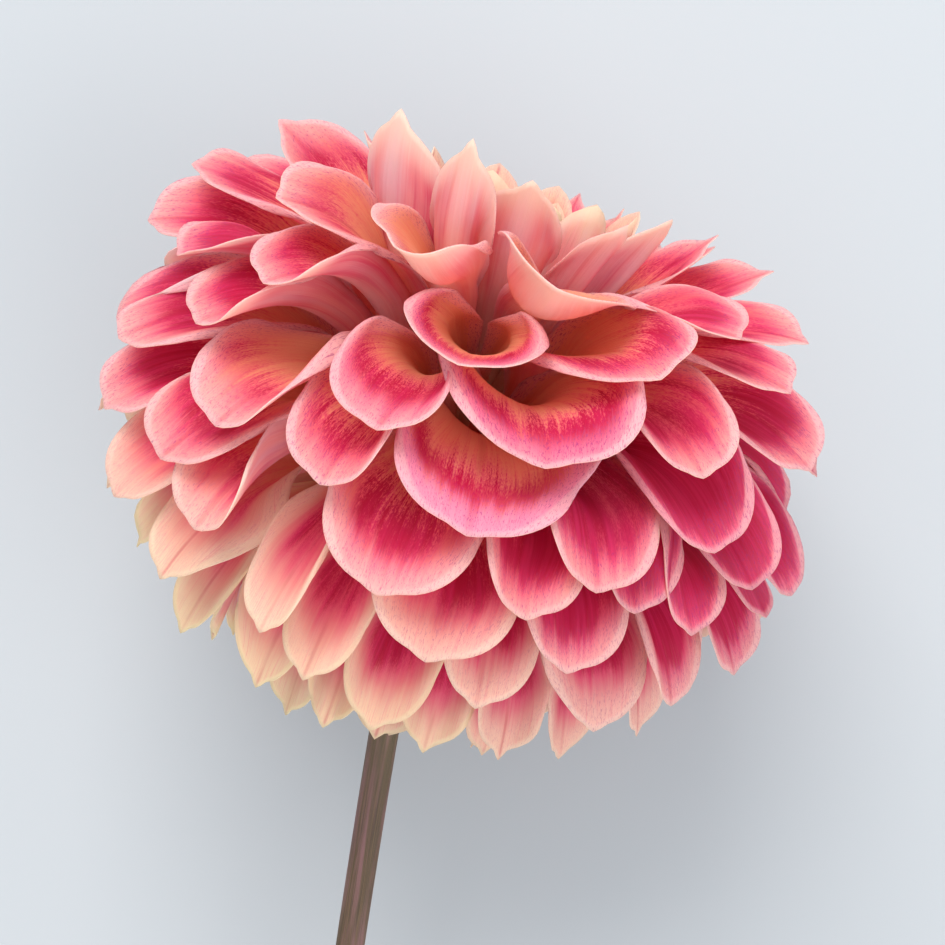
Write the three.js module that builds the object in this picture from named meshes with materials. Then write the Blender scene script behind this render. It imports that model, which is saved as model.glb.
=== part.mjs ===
// A ball dahlia in full bloom, cut with its stem and lying on a flat surface.
// Millimetres and degrees. +Z is up, +Y runs along the stem towards the bloom.
// The bloom is built in its own frame first: z is the flower's axis, azimuth 0
// is the side that lies uppermost, azimuth +90 is the right-hand side seen from
// above. A point on the bloom is given by its polar angle from the axis (0 is
// the heart, 180 is the stem) and its azimuth.
import * as THREE from 'three';

// ---------- driving dimensions ----------

// Outline of the bloom: distance of the petal tips from its centre.
const OUTLINE_POLAR = [0, 15, 30, 45, 60, 75, 90, 105, 120, 135, 150, 165, 180];
const OUTLINE_RADIUS = [48, 51, 59, 67, 71, 71, 70.5, 70.5, 67.5, 64.5, 62.5, 60.5, 58.5];

const RECEPTACLE_RADIUS = 13;
const RECEPTACLE_DEPTH = 12;      // its centre lies this far below the bloom's centre
const SEAT_GAP = 0.35;            // petals and bracts stop this far from the receptacle

const STEM_RADIUS = 3.1;
const NECK_RADIUS = 5;            // the stem widens to this under the receptacle
const NECK_LENGTH = 24;           // where the bend of the neck is
const NECK_FLARE = 9;             // how quickly the widening fades
const STEM_LENGTH = 190;          // from the bend of the neck to the cut
const NECK_BEND = 10;             // sideways, between the stem and the flower's axis

const HEAD_HEIGHT = 66.5;         // bloom centre above the surface it lies on
const PRESS = 1.5;                // how softly the surface flattens the lowest petals

// Petals sit on a golden-angle spiral that winds from the heart to the stem.
const GOLDEN_ANGLE = 137.50776;
const SPIRAL_START = 343.5;
const SPIRAL_STEP = [0, 35, 65, 95, 150, 185];
const SPIRAL_POLAR = [5, 64.4, 91.5, 113.1, 146.5, 165];
const FIRST_PETAL = 10;           // the steps before it belong to the heart
const LAST_PETAL = 184;
const MERGE_SPACING = 12.5;       // a spiral petal this near to one of READ_PETALS is that petal
const SOLID_SPACING = 24.5;       // least angle between two petals modelled as solids
const SPIRAL_INSET = 2;           // spiral petals are this much shorter than those read

// How a petal changes from the heart to the stem, by the polar angle of its tip:
// the way its tip points and the way its claw leaves the receptacle, both as
// angles from the flower's axis; its width; how much it is a trumpet (1) instead
// of an open blade (0); its roll against the tables below; its tip's outline
// (1 a point, 2 an ellipse, more a blunter one); and its point's share of its length.
const PETAL_POLAR = [0, 20, 40, 55, 70, 85, 100, 115, 135, 160, 180];
const TIP_LEAN = [0, 4, 42, 85, 112, 128, 142, 154, 168, 184, 196];
const BASE_POLAR = [0, 10, 24, 36, 46, 56, 66, 78, 94, 112, 124];
const PETAL_WIDTH = [8, 13, 20, 24, 27, 29, 27, 22, 18, 16, 16];
const PETAL_TUBE = [1, 0.95, 0.8, 0.5, 0.3, 0.15, 0.05, 0, 0, 0, 0];
const PETAL_CUP = [1, 1, 1, 1, 1, 1, 0.95, 0.85, 0.78, 0.72, 0.72];
const PETAL_ROUNDNESS = [1.5, 1.5, 1.6, 1.9, 2.2, 2.3, 2.2, 2.1, 1.9, 1.8, 1.8];
const PETAL_POINT = [0.03, 0.03, 0.03, 0.025, 0.015, 0.012, 0.012, 0.02, 0.03, 0.035, 0.035];
const PETAL_THICKNESS = 0.8;

// A petal's centreline is a curve that leaves the receptacle square to it and
// arrives along TIP_LEAN. Its handles are these shares of the straight distance.
const LEAVE_REACH = 0.33;
const ARRIVE_REACH = 0.48;

// How a petal is rolled from its claw (0) to its tip (1): the arc that its
// section bends through, and its width as a share of the full width.
const ROLL_AT = [0, 0.25, 0.5, 0.8, 1];
const OPEN_ROLL = [170, 290, 250, 125, 88];
const TUBE_ROLL = [200, 330, 350, 250, 130];
const MOST_ROLL = 270;            // a solid's margins stay clear of each other
const WIDTH_AT = [0, 0.35, 0.6, 0.82, 1];
const OPEN_WIDTH = [0.15, 0.42, 0.76, 1, 0.86];
const TUBE_WIDTH = [0.15, 0.45, 0.88, 1.05, 0.8];
const MARGIN_ROUNDING = 0.2;      // share of the length by which the margins fall short
const MARGIN_LIP = 0.6;           // the margins curl back by this
const MIDRIB_DEPTH = 0.3;
const TUBE_SQUASH = 0.35;         // how much flatter than round a trumpet is
const ROWS = 8;
const COLUMNS = 5;

// Petals whose tips can be read in the photograph: pixel of the tip, width, and
// how far the petal is rolled (tube, cup, left, right), twisted, bent back (end),
// moved at its claw (base) and held in (inset) beyond its neighbours.
const IMAGE_CENTRE = 472.5;
const FOCAL_PIXELS = 1690;
const VIEW_DISTANCE = 330;
const HEAD_PIXEL = [458, 435];
const VIEW_ROLL = 18;             // flower's axis right of upright in the picture
const VIEW_LEAN = 12;             // flower's axis towards the viewer
const READ_PETALS = [
  // the front
  { pixel: [468, 531], width: 37, cup: 0.55, base: -3 },
  { pixel: [378, 590], width: 32, cup: 0.75 },
  { pixel: [546, 463], width: 45, tube: 0.6, left: -0.2, twist: 8, base: 8 },
  { pixel: [378, 425], width: 34, tube: 0.75, right: 0.4, twist: 10 },
  { pixel: [460, 362], width: 40, tube: 1, end: -22, base: -14, cup: 1.12 },
  { pixel: [427, 656], width: 31, cup: 0.8 },
  { pixel: [597, 588], width: 28, left: 0.2 },
  { pixel: [568, 668], width: 26 },
  { pixel: [527, 615], width: 24, left: 0.5, twist: 8 },
  { pixel: [658, 374], width: 38, tube: 0.6, cup: 0.93, base: 9, left: -0.2, twist: 38 },
  // the left, from the top down
  { pixel: [284, 198], width: 27, cup: 0.8, twist: -30 },
  { pixel: [268, 280], width: 28, tube: 0.5, right: 0.7 },
  { pixel: [198, 162], width: 27, twist: -36 },
  { pixel: [281, 117], width: 28, twist: -42 },
  { pixel: [152, 218], width: 25, twist: -36 },
  { pixel: [182, 252], width: 26, tube: 0.4, right: 0.7 },
  { pixel: [200, 320], width: 28, tube: 0.4, right: 0.7 },
  { pixel: [122, 335], width: 25, twist: -28 },
  { pixel: [218, 422], width: 32, tube: 0.4, right: 0.8 },
  { pixel: [107, 405], width: 22, twist: -20 },
  { pixel: [163, 455], width: 27, twist: -15 },
  { pixel: [322, 480], width: 28, right: 0.9, tube: 0.3 },
  { pixel: [197, 525], width: 28, right: 0.7, tube: 0.3 },
  { pixel: [117, 492], width: 22, twist: -20 },
  { pixel: [163, 573], width: 19, twist: -12 },
  { pixel: [183, 626], width: 16, twist: -10 },
  { pixel: [262, 626], width: 17, right: 1.1 },
  { pixel: [258, 680], width: 16 },
  { pixel: [305, 673], width: 18, tube: 0.2 },
  // the bottom
  { pixel: [373, 723], width: 20, tube: 0.15 },
  { pixel: [425, 745], width: 17 },
  { pixel: [477, 702], width: 22, tube: 0.15 },
  { pixel: [500, 752], width: 18 },
  { pixel: [562, 755], width: 24, cup: 0.7 },
  { pixel: [595, 725], width: 26, tube: 0.15 },
  { pixel: [640, 733], width: 26, cup: 0.7 },
  { pixel: [672, 700], width: 22 },
  { pixel: [325, 720], width: 14 },
  { pixel: [283, 714], width: 15 },
  // the right, from the bottom up
  { pixel: [642, 615], width: 22, cup: 0.8, inset: 2 },
  { pixel: [692, 631], width: 21, left: 0.8, twist: 4 },
  { pixel: [734, 670], width: 26, twist: 10 },
  { pixel: [752, 585], width: 24, twist: 25 },
  { pixel: [767, 613], width: 20, twist: 25 },
  { pixel: [800, 596], width: 20, twist: 30 },
  { pixel: [714, 548], width: 26, twist: 20 },
  { pixel: [702, 473], width: 27, twist: 20, left: 0.3 },
  { pixel: [808, 466], width: 25, twist: 30 },
  { pixel: [785, 388], width: 26, twist: 25 },
  { pixel: [733, 335], width: 28, twist: 16, left: 0.1 },
  { pixel: [800, 340], width: 22, twist: 30 },
  { pixel: [767, 272], width: 27, cup: 0.8, twist: 22 },
  // the top
  { pixel: [398, 240], width: 30, tube: 0.75, twist: -6, right: 0.2 },
  { pixel: [556, 285], width: 36, tube: 0.9, end: -6, base: -18, cup: 1.12, left: 0.1, twist: -12 },
  { pixel: [531, 187], width: 24 },
  { pixel: [667, 225], width: 24 },
  { pixel: [405, 146], width: 32, tube: 0.2, cup: 0.9, end: -25, inset: -5 },
  { pixel: [470, 174], width: 19, end: -25, inset: -5 },
  { pixel: [711, 240], width: 26, cup: 0.8, twist: 15 },
];

const BRACT_COUNT = 5;
const BRACT_BASE_POLAR = 148;
const BRACT_TIP = [19, -49];      // distance from the axis, height
const BRACT_END = 172;
const BRACT_WIDTH = 9;
const BRACT_THICKNESS = 0.9;
const BRACT_ROLL = 0.45;
const BRACT_START = 36;

// Distance from the axis and height of the closed heart, turned about the axis.
const HEART_PROFILE = [[0, 1.5], [2.5, 1.6], [3.5, 14], [6, 27], [9, 38], [9, 43], [5, 46], [0, 46.5]];
const HEART_SIDES = 20;

// ---------- small helpers ----------

const radians = THREE.MathUtils.degToRad;
const smoothstep = (x) => THREE.MathUtils.smoothstep(x, 0, 1);

// Reads a table at x, in straight lines or with eased steps between its points.
function read(x, xs, ys, ease = (t) => t) {
  if (x <= xs[0]) return ys[0];
  const last = xs.length - 1;
  if (x >= xs[last]) return ys[last];
  const i = xs.findIndex((value) => value > x) - 1;
  const t = (x - xs[i]) / (xs[i + 1] - xs[i]);
  return ys[i] + (ys[i + 1] - ys[i]) * ease(t);
}

function unit(polar, azimuth) {
  const p = radians(polar);
  const a = radians(azimuth);
  return new THREE.Vector3(Math.sin(p) * Math.cos(a), Math.sin(p) * Math.sin(a), Math.cos(p));
}

// ---------- how the flower lies ----------

// The cut end of the stem and the underside of the bloom both touch the surface,
// so the axis rises towards the bloom.
const reach = RECEPTACLE_DEPTH + RECEPTACLE_RADIUS + SEAT_GAP + NECK_LENGTH + STEM_LENGTH;
const rise = Math.asin((HEAD_HEIGHT - STEM_RADIUS) / reach);
const axis = new THREE.Vector3(
  Math.sin(radians(NECK_BEND)) * Math.cos(rise),
  Math.cos(radians(NECK_BEND)) * Math.cos(rise),
  Math.sin(rise),
);
const stemDirection = new THREE.Vector3(0, Math.cos(rise), Math.sin(rise));
const upper = new THREE.Vector3(0, 0, 1).addScaledVector(axis, -axis.z).normalize();
const side = new THREE.Vector3().crossVectors(axis, upper);
const lying = new THREE.Matrix4().makeBasis(upper, side, axis).setPosition(0, 0, HEAD_HEIGHT);

// Flattens what would reach below the surface.
function press(point) {
  point.z = PRESS * Math.log1p(Math.exp(point.z / PRESS));
  return point;
}

// ---------- closed solids from grids ----------

function geometryFrom(points, triangles) {
  const geometry = new THREE.BufferGeometry();
  geometry.setAttribute('position', new THREE.Float32BufferAttribute(points.flatMap((p) => p.toArray()), 3));
  geometry.setIndex(triangles);
  geometry.computeVertexNormals();
  return geometry;
}

// A sheet of even thickness around a grid of middle points, closed all round.
function sheet(grid, thickness) {
  const rows = grid.length;
  const columns = grid[0].length;
  const count = rows * columns;
  const points = new Array(2 * count);
  for (let i = 0; i < rows; i++) {
    for (let j = 0; j < columns; j++) {
      const along = grid[Math.min(i + 1, rows - 1)][j].clone().sub(grid[Math.max(i - 1, 0)][j]);
      const across = grid[i][Math.min(j + 1, columns - 1)].clone().sub(grid[i][Math.max(j - 1, 0)]);
      const normal = across.cross(along).normalize();
      const index = i * columns + j;
      points[index] = grid[i][j].clone().addScaledVector(normal, thickness / 2);
      points[index + count] = grid[i][j].clone().addScaledVector(normal, -thickness / 2);
    }
  }
  const triangles = [];
  const quad = (a, b, c, d) => triangles.push(a, b, c, a, c, d);
  for (let i = 0; i < rows - 1; i++) {
    for (let j = 0; j < columns - 1; j++) {
      const a = i * columns + j;
      quad(a, a + 1, a + columns + 1, a + columns);
      quad(a + count, a + columns + count, a + columns + 1 + count, a + 1 + count);
    }
  }
  for (let j = 0; j < columns - 1; j++) {
    const end = (rows - 1) * columns + j;
    quad(j, j + count, j + 1 + count, j + 1);
    quad(end, end + 1, end + 1 + count, end + count);
  }
  for (let i = 0; i < rows - 1; i++) {
    const left = i * columns;
    const right = left + columns - 1;
    quad(left, left + columns, left + columns + count, left + count);
    quad(right, right + count, right + columns + count, right + columns);
  }
  return geometryFrom(points, triangles);
}

// ---------- petals and bracts ----------

// The middle surface of a blade that leaves the receptacle square to it and ends
// at a tip. Its centreline lies in a plane through the flower's axis, and its
// section is an arc that opens towards the tip.
function blade(spec) {
  const { azimuth, basePolar, tip, end, width, roundness = 2, sharp = 0.02 } = spec;
  const { tube = 0, cup = 1, left = 0, right = 0, twist = 0 } = spec;
  const between = (open, rolled) => open.map((value, i) => value + (rolled[i] - value) * tube);
  const seat = RECEPTACLE_RADIUS + SEAT_GAP;
  const leave = new THREE.Vector2(Math.sin(radians(basePolar)), Math.cos(radians(basePolar)));
  const arrive = new THREE.Vector2(Math.sin(radians(end)), Math.cos(radians(end)));
  const start = leave.clone().multiplyScalar(seat).add(new THREE.Vector2(0, -RECEPTACLE_DEPTH));
  const stop = new THREE.Vector2(...tip);
  const chord = start.distanceTo(stop);
  const line = new THREE.CubicBezierCurve(
    start,
    start.clone().addScaledVector(leave, LEAVE_REACH * chord),
    stop.clone().addScaledVector(arrive, -ARRIVE_REACH * chord),
    stop,
  );
  const length = line.getLength();
  const turn = new THREE.Matrix4().makeRotationZ(radians(azimuth));
  const grid = [];
  for (let i = 0; i < ROWS; i++) {
    const u = i / (ROWS - 1);
    const half = (width / 2) * read(u, WIDTH_AT, between(OPEN_WIDTH, TUBE_WIDTH), smoothstep);
    const opening = radians(read(u, ROLL_AT, between(OPEN_ROLL, TUBE_ROLL), smoothstep));
    const lip = smoothstep((u - 0.35) / 0.4);
    const angle = radians(twist) * smoothstep(u / 0.8);
    const row = [];
    for (let j = 0; j < COLUMNS; j++) {
      const v = -1 + (2 * j) / (COLUMNS - 1);
      const rolled = 1 + (v < 0 ? left : right) * smoothstep((u - 0.25) / 0.4);
      const curve = Math.min(opening * cup * rolled, radians(MOST_ROLL)) / 2;
      const across = (half * Math.sin(curve * v)) / curve;
      const fold = smoothstep((Math.abs(v) - 0.7) / 0.3) * lip * MARGIN_LIP;
      const rib = v === 0 ? MIDRIB_DEPTH * smoothstep(u / 0.25) : 0;
      const arc = (half * (1 - Math.cos(curve * v))) / curve;
      const inward = arc * (1 - TUBE_SQUASH * tube) - fold - rib;
      const point = v === 0 ? sharp * smoothstep((u - 0.8) / 0.2) : 0;
      const shoulder = 1 - (1 - Math.abs(v) ** roundness) ** (1 / roundness);
      const along = u * (1 - MARGIN_ROUNDING * shoulder) + point;
      const centre = line.getPointAt(Math.min(along, 1));
      const tangent = line.getTangentAt(Math.min(along, 1));
      centre.addScaledVector(tangent, Math.max(along - 1, 0) * length);
      const x = across * Math.cos(angle) - inward * Math.sin(angle);
      const n = across * Math.sin(angle) + inward * Math.cos(angle);
      const place = new THREE.Vector3(centre.x - tangent.y * n, x, centre.y + tangent.x * n);
      row.push(press(place.applyMatrix4(turn).applyMatrix4(lying)));
    }
    grid.push(row);
  }
  return grid;
}

// The direction from the bloom's centre to the point of its outline at a pixel.
function readDirection([px, py]) {
  const roll = radians(VIEW_ROLL);
  const lean = radians(VIEW_LEAN);
  const a = new THREE.Vector3(
    Math.sin(roll) * Math.cos(lean),
    Math.cos(roll) * Math.cos(lean),
    Math.sin(lean),
  );
  const e1 = new THREE.Vector3(0, 0, 1).addScaledVector(a, -a.z).normalize();
  const e2 = new THREE.Vector3().crossVectors(a, e1);
  const toHead = (v) => new THREE.Vector3(e1.dot(v), e2.dot(v), a.dot(v));
  const pixelVector = (x, y) =>
    new THREE.Vector3((x - IMAGE_CENTRE) / FOCAL_PIXELS, (IMAGE_CENTRE - y) / FOCAL_PIXELS, -1);
  const eye = toHead(pixelVector(...HEAD_PIXEL).multiplyScalar(-VIEW_DISTANCE));
  const ray = toHead(pixelVector(px, py).normalize());
  const point = new THREE.Vector3();
  let radius = OUTLINE_RADIUS[6];
  for (let pass = 0; pass < 12; pass++) {
    const b = eye.dot(ray);
    const inside = Math.max(b * b - eye.lengthSq() + radius * radius, 0);
    point.copy(eye).addScaledVector(ray, -b - Math.sqrt(inside));
    const polar = THREE.MathUtils.radToDeg(Math.acos(point.z / point.length()));
    radius += 0.7 * (read(polar, OUTLINE_POLAR, OUTLINE_RADIUS) - radius);
  }
  const polar = THREE.MathUtils.radToDeg(Math.acos(point.z / point.length()));
  return [polar, THREE.MathUtils.radToDeg(Math.atan2(point.y, point.x))];
}

// All petals of the bloom: those read from the photograph, then those of the
// spiral that don't fall on one of them.
function allPetals() {
  const petals = READ_PETALS.map((petal) => {
    const [polar, azimuth] = readDirection(petal.pixel);
    return { ...petal, polar, azimuth, direction: unit(polar, azimuth) };
  });
  for (let n = FIRST_PETAL; n <= LAST_PETAL; n++) {
    const polar = read(n, SPIRAL_STEP, SPIRAL_POLAR);
    const azimuth = SPIRAL_START - GOLDEN_ANGLE * n;
    const direction = unit(polar, azimuth);
    const clear = petals.slice(0, READ_PETALS.length).every(
      (other) => direction.angleTo(other.direction) > radians(MERGE_SPACING),
    );
    if (clear) petals.push({ polar, azimuth, direction });
  }
  return petals;
}

// The petals that are modelled as solids: each is well clear of the ones before it.
function solidPetals() {
  const solids = [];
  for (const petal of allPetals()) {
    const clear = solids.every(
      (other) => petal.direction.angleTo(other.direction) > radians(SOLID_SPACING),
    );
    if (clear) solids.push(petal);
  }
  return solids;
}

function petalSheet(petal) {
  const { polar, azimuth } = petal;
  const byPolar = (table) => read(polar, PETAL_POLAR, table);
  const inset = petal.inset ?? (petal.pixel ? 0 : SPIRAL_INSET);
  const radius = read(polar, OUTLINE_POLAR, OUTLINE_RADIUS) - inset;
  return sheet(blade({
    azimuth,
    basePolar: byPolar(BASE_POLAR) + (petal.base ?? 0),
    tip: [radius * Math.sin(radians(polar)), radius * Math.cos(radians(polar))],
    end: byPolar(TIP_LEAN) + (petal.end ?? 0),
    width: petal.width ?? byPolar(PETAL_WIDTH),
    tube: petal.tube ?? byPolar(PETAL_TUBE),
    roundness: byPolar(PETAL_ROUNDNESS),
    sharp: byPolar(PETAL_POINT),
    cup: petal.cup ?? byPolar(PETAL_CUP),
    left: petal.left,
    right: petal.right,
    twist: petal.twist,
  }), PETAL_THICKNESS);
}

function bractSheet(index) {
  return sheet(blade({
    azimuth: BRACT_START + (360 / BRACT_COUNT) * index,
    basePolar: BRACT_BASE_POLAR,
    tip: BRACT_TIP,
    end: BRACT_END,
    width: BRACT_WIDTH,
    cup: BRACT_ROLL,
  }), BRACT_THICKNESS);
}

// ---------- stem, receptacle and heart ----------

function stemTube() {
  const steps = 26;
  const sides = 12;
  const top = new THREE.Vector3(0, 0, -RECEPTACLE_DEPTH - RECEPTACLE_RADIUS - SEAT_GAP).applyMatrix4(lying);
  const bend = top.clone().addScaledVector(axis, -NECK_LENGTH);
  const cut = bend.clone().addScaledVector(stemDirection, -STEM_LENGTH);
  const path = new THREE.QuadraticBezierCurve3(top, bend, cut);
  const points = [];
  const triangles = [];
  for (let i = 0; i <= steps; i++) {
    const t = (i / steps) ** 1.5;
    const centre = path.getPoint(t);
    const tangent = path.getTangent(t);
    const across = new THREE.Vector3(0, 0, 1).cross(tangent).normalize();
    const above = new THREE.Vector3().crossVectors(tangent, across);
    const flare = Math.exp(-centre.distanceTo(top) / NECK_FLARE);
    const radius = STEM_RADIUS + (NECK_RADIUS - STEM_RADIUS) * flare;
    for (let j = 0; j < sides; j++) {
      const angle = (2 * Math.PI * j) / sides;
      points.push(centre.clone()
        .addScaledVector(across, radius * Math.cos(angle))
        .addScaledVector(above, radius * Math.sin(angle)));
    }
  }
  for (let i = 0; i < steps; i++) {
    for (let j = 0; j < sides; j++) {
      const a = i * sides + j;
      const b = i * sides + ((j + 1) % sides);
      triangles.push(a, b, b + sides, a, b + sides, a + sides);
    }
  }
  const last = steps * sides;
  for (let j = 1; j < sides - 1; j++) {
    triangles.push(0, j + 1, j);
    triangles.push(last, last + j, last + j + 1);
  }
  return geometryFrom(points, triangles);
}

function receptacleBall() {
  const geometry = new THREE.SphereGeometry(RECEPTACLE_RADIUS, 24, 14);
  geometry.translate(0, 0, -RECEPTACLE_DEPTH);
  return geometry.applyMatrix4(lying);
}

function heartBud() {
  const profile = HEART_PROFILE.map(([radius, height]) => new THREE.Vector2(radius, height));
  const geometry = new THREE.LatheGeometry(profile, HEART_SIDES);
  geometry.rotateX(Math.PI / 2);
  return geometry.applyMatrix4(lying);
}

// ---------- the flower ----------

const petalFinish = { color: 0xe8637a, roughness: 0.6, metalness: 0 };
const heartFinish = { color: 0xf2b27a, roughness: 0.6, metalness: 0 };
const bractFinish = { color: 0x7f9a55, roughness: 0.65, metalness: 0 };
const receptacleFinish = { color: 0x9aa860, roughness: 0.65, metalness: 0 };
const stemFinish = { color: 0x6f5a3c, roughness: 0.55, metalness: 0 };

const flower = new THREE.Group();

function addPiece(name, geometry, finish) {
  const mesh = new THREE.Mesh(geometry, new THREE.MeshStandardMaterial(finish));
  mesh.name = name;
  flower.add(mesh);
}

addPiece('stem', stemTube(), stemFinish);
addPiece('receptacle', receptacleBall(), receptacleFinish);
addPiece('heart', heartBud(), heartFinish);
for (let i = 0; i < BRACT_COUNT; i++) addPiece(`bract_${i + 1}`, bractSheet(i), bractFinish);
solidPetals().forEach((petal, i) => {
  addPiece(`petal_${String(i + 1).padStart(2, '0')}`, petalSheet(petal), petalFinish);
});

// The origin is the middle of the flower's footprint, on the surface it lies on.
const box = new THREE.Box3().setFromObject(flower);
flower.position.set(-(box.min.x + box.max.x) / 2, -(box.min.y + box.max.y) / 2, -box.min.z);

export default flower;
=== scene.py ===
"""A ball dahlia in full bloom, cut with its stem and lying on a pale floor.

The bloom is worked out in its own frame, in millimetres and degrees: z is the flower's
axis, azimuth 0 is the side that lies uppermost and azimuth +90 the right-hand side seen
from above. A petal's place is the polar angle (0 heart, 180 stem) and azimuth of its tip.
In the row frame, where the flower lies, z is up and y runs along the stem to the bloom.
"""
import math
from types import SimpleNamespace

import bpy
import numpy as np
from mathutils import Matrix, Vector
from mathutils.bvhtree import BVHTree


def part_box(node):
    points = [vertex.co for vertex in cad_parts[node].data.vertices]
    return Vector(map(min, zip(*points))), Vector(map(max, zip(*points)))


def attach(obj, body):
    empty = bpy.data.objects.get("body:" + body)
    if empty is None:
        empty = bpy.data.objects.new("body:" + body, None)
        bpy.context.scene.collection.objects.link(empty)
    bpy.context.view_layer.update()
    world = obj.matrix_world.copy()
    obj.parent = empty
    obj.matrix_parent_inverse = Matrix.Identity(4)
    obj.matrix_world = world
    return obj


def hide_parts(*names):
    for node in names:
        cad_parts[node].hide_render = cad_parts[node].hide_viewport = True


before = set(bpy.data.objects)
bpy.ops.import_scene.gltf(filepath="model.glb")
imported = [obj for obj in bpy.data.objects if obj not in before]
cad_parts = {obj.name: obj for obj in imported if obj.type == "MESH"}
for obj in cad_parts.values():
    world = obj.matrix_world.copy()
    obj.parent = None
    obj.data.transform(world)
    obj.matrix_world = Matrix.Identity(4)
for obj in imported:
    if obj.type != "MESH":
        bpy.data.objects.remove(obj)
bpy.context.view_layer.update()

# ---------- the bloom's driving dimensions, as the solids have them ----------

# Outline of the bloom: distance of the petal tips from its centre.
OUTLINE_POLAR = [0, 15, 30, 45, 60, 75, 90, 105, 120, 135, 150, 165, 180]
OUTLINE_RADIUS = [48, 51, 59, 67, 71, 71, 70.5, 70.5, 67.5, 64.5, 62.5, 60.5, 58.5]

RECEPTACLE_RADIUS = 13
RECEPTACLE_DEPTH = 12       # its centre lies this far below the bloom's centre
SEAT_GAP = 0.35             # petals, bracts and the stem stop this far from it

STEM_RADIUS = 3.1
NECK_RADIUS = 5             # the stem widens to this under the receptacle
NECK_LENGTH = 24            # where the bend of the neck is
NECK_FLARE = 9              # how quickly the widening fades
STEM_LENGTH = 190           # from the bend of the neck to the cut
NECK_BEND = 10              # sideways, between the stem and the flower's axis

HEAD_HEIGHT = 66.5          # bloom centre above the surface it lies on
PRESS = 1.5                 # how softly the surface flattens the lowest petals

# Petals sit on a golden-angle spiral that winds from the heart to the stem.
GOLDEN_ANGLE = 137.50776
SPIRAL_START = 343.5
SPIRAL_STEP = [0, 35, 65, 95, 150, 185]
SPIRAL_POLAR = [5, 64.4, 91.5, 113.1, 146.5, 165]
FIRST_PETAL = 10            # the steps before it belong to the heart
LAST_PETAL = 184
MERGE_SPACING = 12.5        # a spiral petal this near to one of READ_PETALS is that petal
SOLID_SPACING = 24.5        # least angle between two petals modelled as solids
SPIRAL_INSET = 2            # spiral petals are this much shorter than those read

# How a petal changes from the heart to the stem, by the polar angle of its tip:
# the way its tip points and the way its claw leaves the receptacle, both as angles
# from the flower's axis; its width; how much it is a trumpet (1) instead of an open
# blade (0); its roll against the tables below; its tip's outline (1 a point, 2 an
# ellipse, more a blunter one); and its point's share of its length.
PETAL_POLAR = [0, 20, 40, 55, 70, 85, 100, 115, 135, 160, 180]
TIP_LEAN = [0, 4, 42, 85, 112, 128, 142, 154, 168, 184, 196]
BASE_POLAR = [0, 10, 24, 36, 46, 56, 66, 78, 94, 112, 124]
PETAL_WIDTH = [8, 13, 20, 24, 27, 29, 27, 22, 18, 16, 16]
PETAL_TUBE = [1, 0.95, 0.8, 0.5, 0.3, 0.15, 0.05, 0, 0, 0, 0]
PETAL_CUP = [1, 1, 1, 1, 1, 1, 0.95, 0.85, 0.78, 0.72, 0.72]
PETAL_ROUNDNESS = [1.5, 1.5, 1.6, 1.9, 2.2, 2.3, 2.2, 2.1, 1.9, 1.8, 1.8]
PETAL_POINT = [0.03, 0.03, 0.03, 0.025, 0.015, 0.012, 0.012, 0.02, 0.03, 0.035, 0.035]

# A petal's centreline is a curve that leaves the receptacle square to it and arrives
# along TIP_LEAN. Its handles are these shares of the straight distance.
LEAVE_REACH = 0.33
ARRIVE_REACH = 0.48

# How a petal is rolled from its claw (0) to its tip (1): the arc that its section
# bends through, and its width as a share of the full width.
ROLL_AT = [0, 0.25, 0.5, 0.8, 1]
OPEN_ROLL = [170, 290, 250, 125, 88]
TUBE_ROLL = [200, 330, 350, 250, 130]
WIDTH_AT = [0, 0.35, 0.6, 0.82, 1]
OPEN_WIDTH = [0.15, 0.42, 0.76, 1, 0.86]
TUBE_WIDTH = [0.15, 0.45, 0.88, 1.05, 0.8]
MARGIN_ROUNDING = 0.2       # share of the length by which the margins fall short
MARGIN_LIP = 0.6            # the margins curl back by this
MIDRIB_DEPTH = 0.3
TUBE_SQUASH = 0.35          # how much flatter than round a trumpet is

# The photograph's camera, as estimated from it.
IMAGE_WIDTH = 945
IMAGE_CENTRE = IMAGE_WIDTH / 2
FOCAL_PIXELS = 1690
VIEW_DISTANCE = 330
HEAD_PIXEL = (458, 435)
VIEW_ROLL = 18              # flower's axis right of upright in the picture
VIEW_LEAN = 12              # flower's axis towards the viewer
READ_ROUNDS = 12            # rounds in which a pixel's ray finds the outline
READ_STEP = 0.7             # share of the error that each round takes away

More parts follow.
